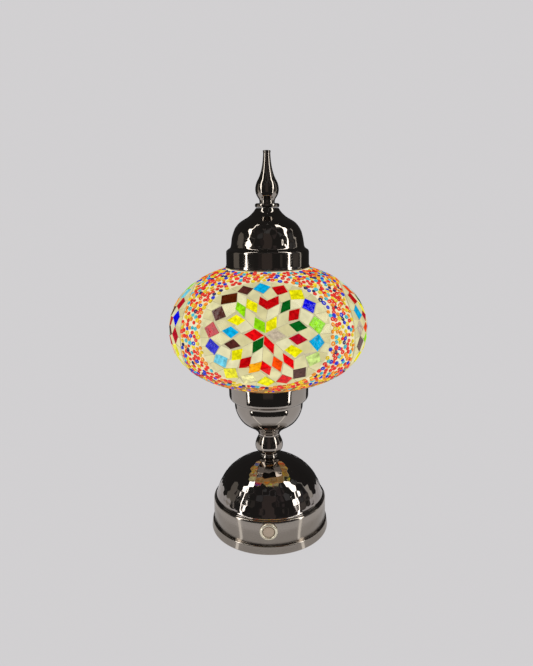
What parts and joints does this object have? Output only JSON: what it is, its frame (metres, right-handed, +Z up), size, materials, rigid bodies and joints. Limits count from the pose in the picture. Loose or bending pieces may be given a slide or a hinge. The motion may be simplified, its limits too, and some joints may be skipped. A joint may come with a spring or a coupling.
{
  "type": "mosaic glass table lamp",
  "caption": "Cordless table lamp: oval globe covered in coloured glass tiles and beads, hammered dark nickel cap, cup, turned stem and domed base with a push button on its band.",
  "frame": {"origin": "on the table, at the centre of the base", "axes": "+Z up along the lamp's axis, -Y towards the side with the push button"},
  "size_m": [0.1808, 0.1808, 0.3544],
  "materials": {
    "nickel": "polished black nickel, partly hammered",
    "button_metal": "satin, pale champagne",
    "mosaic": "coloured glass tiles and ring beads in pale grout, lit from inside",
    "globe_glass": "frosted blown glass",
    "steel": "zinc plated",
    "brass": "plain brass",
    "black_plastic": "moulded, fine grain",
    "white_plastic": "moulded, smooth",
    "diffuser": "frosted, lit",
    "rubber": "soft matt",
    "cell": "plain printed sleeve, no marks",
    "board": "green solder mask",
    "lead": "insulated wire"
  },
  "bodies": {
    "base": {"base_band": "nickel", "dome": "nickel", "stem": "nickel", "cup": "nickel", "switch_body": "button_metal", "dome_washer": "steel", "cover_screw_1": "steel", "cover_screw_2": "steel", "cover_screw_3": "steel", "battery_spring_1": "steel", "battery_spring_2": "steel", "battery_spring_3": "steel", "contact_plate_1": "steel", "contact_plate_2": "steel", "contact_plate_3": "steel", "contact_plate_4": "steel", "button_spring": "steel", "switch_nut": "steel", "globe_clip": "steel", "dome_nut": "brass", "cup_nut": "brass", "nipple": "brass", "holder_contact": "brass", "bottom_cover": "black_plastic", "battery_box": "black_plastic", "lampholder": "black_plastic", "foot_pad_1": "rubber", "foot_pad_2": "rubber", "foot_pad_3": "rubber", "foot_pad_4": "rubber", "battery_1": "cell", "battery_2": "cell", "battery_3": "cell", "driver_board": "board", "supply_lead": "lead", "switch_lead": "lead", "battery_lead": "lead"},
    "globe": {"globe_glass": "globe_glass", "mosaic_skin": "mosaic", "edge_ring_upper": "rubber", "edge_ring_lower": "rubber"},
    "cap": {"top_cap": "nickel", "finial_collar": "nickel", "finial_stud": "steel", "cap_clip": "steel", "cap_washer": "steel", "cap_nut": "steel"},
    "finial": {"finial": "nickel"},
    "bulb": {"bulb_base": "brass", "bulb_body": "white_plastic", "bulb_diffuser": "diffuser", "led_board": "board"},
    "button": {"button_cap": "button_metal"},
    "battery_door": {"battery_door": "black_plastic"}
  },
  "joints": [
    {"name": "globe_lift", "type": "slide", "parent": "base", "child": "globe", "axis": [0, 0, 1], "range_m": [0, 0.06]},
    {"name": "cap_lift", "type": "slide", "parent": "globe", "child": "cap", "axis": [0, 0, 1], "range_m": [0, 0.04]},
    {"name": "finial_unscrew", "type": "hinge", "parent": "cap", "child": "finial", "pos_m": [0, 0, 0.3116], "axis": [0, 0, 1], "continuous": true},
    {"name": "bulb_lift", "type": "slide", "parent": "base", "child": "bulb", "axis": [0, 0, 1], "range_m": [0, 0.03]},
    {"name": "button_press", "type": "slide", "parent": "base", "child": "button", "axis": [0, 1, 0], "range_m": [0, 0.0015], "stiffness_N_per_m": 400, "springref_m": -0.001},
    {"name": "battery_door_release", "type": "slide", "parent": "base", "child": "battery_door", "axis": [0, 0, -1], "range_m": [0, 0.02]}
  ]
}
